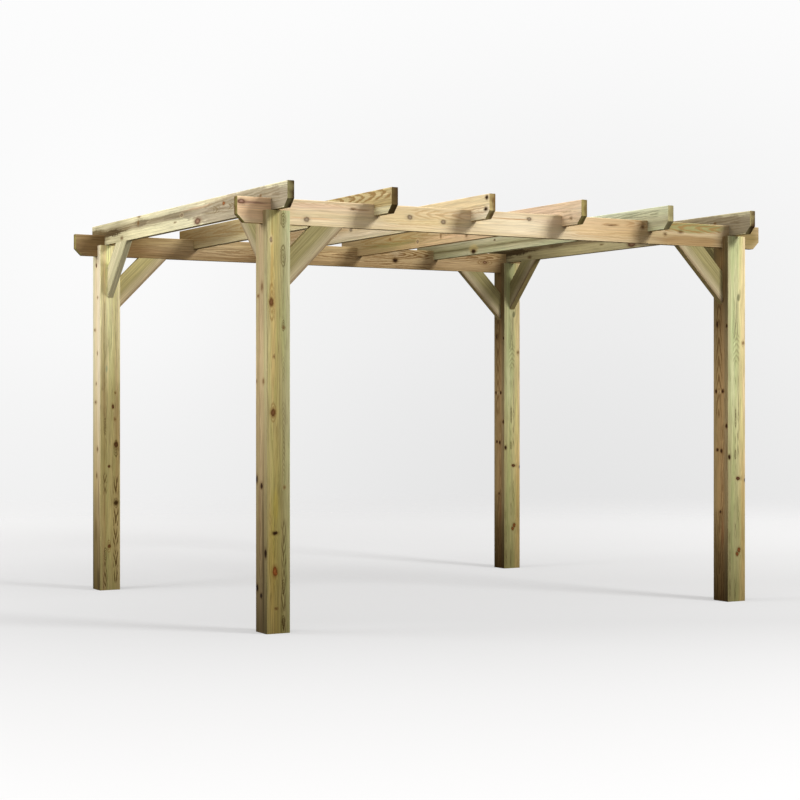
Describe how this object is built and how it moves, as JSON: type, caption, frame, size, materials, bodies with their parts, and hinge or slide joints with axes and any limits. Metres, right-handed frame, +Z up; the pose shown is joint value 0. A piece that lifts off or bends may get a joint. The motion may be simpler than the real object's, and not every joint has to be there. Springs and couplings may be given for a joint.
{
  "type": "wooden pergola",
  "caption": "Free-standing open timber pergola: square posts slotted over beams on edge, notched rafters with sloping tails, mitred knee braces.",
  "frame": {"origin": "on the ground at the middle of the footprint, level with the underside of the post feet", "axes": "+X along the beams, the longest extent; +Y back along the rafters; +Z up"},
  "size_m": [3.6, 3, 2.42],
  "materials": {
    "post_timber": "planed softwood, pressure treated to a pale green-brown, unvarnished",
    "beam_timber": "planed softwood, pressure treated, warm straw and orange-brown, unvarnished",
    "rafter_timber": "planed softwood, pressure treated, straw to grey-green with knots, unvarnished",
    "brace_timber": "planed softwood, pressure treated, grey-green, unvarnished"
  },
  "bodies": {
    "root": {"post_front_left": "post_timber", "post_front_right": "post_timber", "post_back_left": "post_timber", "post_back_right": "post_timber", "beam_front": "beam_timber", "beam_back": "beam_timber", "rafter_1": "rafter_timber", "rafter_2": "rafter_timber", "rafter_3": "rafter_timber", "rafter_4": "rafter_timber", "rafter_5": "rafter_timber", "rafter_6": "rafter_timber", "brace_front_left_to_beam": "brace_timber", "brace_front_left_to_rafter": "brace_timber", "brace_front_right_to_beam": "brace_timber", "brace_front_right_to_rafter": "brace_timber", "brace_back_left_to_beam": "brace_timber", "brace_back_left_to_rafter": "brace_timber", "brace_back_right_to_beam": "brace_timber", "brace_back_right_to_rafter": "brace_timber"}
  },
  "joints": []
}
